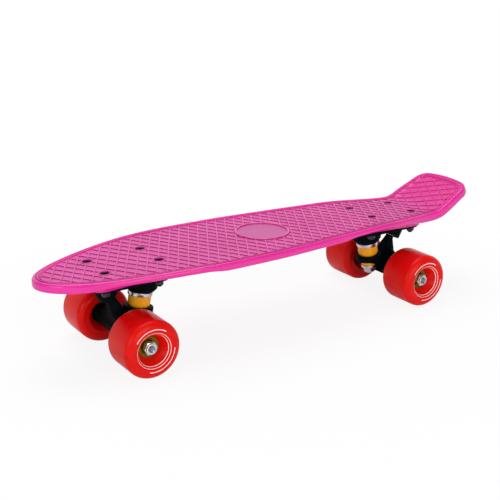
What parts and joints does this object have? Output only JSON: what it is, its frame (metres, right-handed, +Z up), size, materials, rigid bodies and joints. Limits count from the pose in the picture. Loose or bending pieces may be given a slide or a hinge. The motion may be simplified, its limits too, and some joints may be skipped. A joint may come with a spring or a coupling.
{
  "type": "cruiser skateboard",
  "caption": "Small moulded plastic cruiser skateboard with a rounded nose, kicked tail, sprung cast trucks and wide urethane wheels.",
  "frame": {"origin": "on the floor under the middle of the board's overall box, which is also the middle of its length", "axes": "+X from the nose towards the kicked tail, along the board; +Z up from the floor; +Y across the board, to the rider's right when facing the nose"},
  "size_m": [0.5396, 0.1536, 0.1242],
  "materials": {
    "deck_plastic": "gloss",
    "truck_casting": "satin",
    "pivot_nylon": "satin",
    "zinc_steel": "satin",
    "black_steel": "satin",
    "bushing_urethane": "gloss",
    "wheel_urethane": "gloss",
    "bearing_steel": "satin"
  },
  "bodies": {
    "board": {"deck": "deck_plastic", "front_baseplate": "truck_casting", "front_pivot_cup": "pivot_nylon", "front_kingpin": "zinc_steel", "front_kingpin_nut": "zinc_steel", "front_upper_bushing": "bushing_urethane", "front_lower_bushing": "bushing_urethane", "front_upper_washer": "zinc_steel", "front_lower_washer": "zinc_steel", "front_deck_bolt_1": "black_steel", "front_deck_nut_1": "zinc_steel", "front_deck_bolt_2": "black_steel", "front_deck_nut_2": "zinc_steel", "front_deck_bolt_3": "black_steel", "front_deck_nut_3": "zinc_steel", "front_deck_bolt_4": "black_steel", "front_deck_nut_4": "zinc_steel", "rear_baseplate": "truck_casting", "rear_pivot_cup": "pivot_nylon", "rear_kingpin": "zinc_steel", "rear_kingpin_nut": "zinc_steel", "rear_upper_bushing": "bushing_urethane", "rear_lower_bushing": "bushing_urethane", "rear_upper_washer": "zinc_steel", "rear_lower_washer": "zinc_steel", "rear_deck_bolt_1": "black_steel", "rear_deck_nut_1": "zinc_steel", "rear_deck_bolt_2": "black_steel", "rear_deck_nut_2": "zinc_steel", "rear_deck_bolt_3": "black_steel", "rear_deck_nut_3": "zinc_steel", "rear_deck_bolt_4": "black_steel", "rear_deck_nut_4": "zinc_steel"},
    "front_truck_hanger": {"front_hanger": "truck_casting", "front_axle": "zinc_steel", "front_left_bearing_sleeve": "zinc_steel", "front_left_axle_nut": "zinc_steel", "front_right_bearing_sleeve": "zinc_steel", "front_right_axle_nut": "zinc_steel"},
    "front_left_rolling": {"front_left_wheel": "wheel_urethane", "front_left_inboard_bearing": "bearing_steel", "front_left_outboard_bearing": "bearing_steel"},
    "front_right_rolling": {"front_right_wheel": "wheel_urethane", "front_right_inboard_bearing": "bearing_steel", "front_right_outboard_bearing": "bearing_steel"},
    "rear_truck_hanger": {"rear_hanger": "truck_casting", "rear_axle": "zinc_steel", "rear_left_bearing_sleeve": "zinc_steel", "rear_left_axle_nut": "zinc_steel", "rear_right_bearing_sleeve": "zinc_steel", "rear_right_axle_nut": "zinc_steel"},
    "rear_left_rolling": {"rear_left_wheel": "wheel_urethane", "rear_left_inboard_bearing": "bearing_steel", "rear_left_outboard_bearing": "bearing_steel"},
    "rear_right_rolling": {"rear_right_wheel": "wheel_urethane", "rear_right_inboard_bearing": "bearing_steel", "rear_right_outboard_bearing": "bearing_steel"}
  },
  "joints": [
    {"name": "front_steer", "type": "hinge", "parent": "board", "child": "front_truck_hanger", "pos_m": [-0.1933, 0, 0.0665], "axis": [0.8317, 0, -0.5553], "range_deg": [-12, 12], "stiffness_Nm_per_rad": 30, "deforming": ["front_upper_bushing", "front_lower_bushing"]},
    {"name": "front_left_roll", "type": "hinge", "parent": "front_truck_hanger", "child": "front_left_rolling", "pos_m": [-0.1821, -0.05425, 0.03], "axis": [0, 1, 0], "continuous": true},
    {"name": "front_right_roll", "type": "hinge", "parent": "front_truck_hanger", "child": "front_right_rolling", "pos_m": [-0.1821, 0.05425, 0.03], "axis": [0, 1, 0], "continuous": true},
    {"name": "rear_steer", "type": "hinge", "parent": "board", "child": "rear_truck_hanger", "pos_m": [0.1797, 0, 0.0665], "axis": [0.8317, 0, 0.5553], "range_deg": [-12, 12], "stiffness_Nm_per_rad": 30, "deforming": ["rear_upper_bushing", "rear_lower_bushing"]},
    {"name": "rear_left_roll", "type": "hinge", "parent": "rear_truck_hanger", "child": "rear_left_rolling", "pos_m": [0.1685, -0.05425, 0.03], "axis": [0, 1, 0], "continuous": true},
    {"name": "rear_right_roll", "type": "hinge", "parent": "rear_truck_hanger", "child": "rear_right_rolling", "pos_m": [0.1685, 0.05425, 0.03], "axis": [0, 1, 0], "continuous": true}
  ]
}
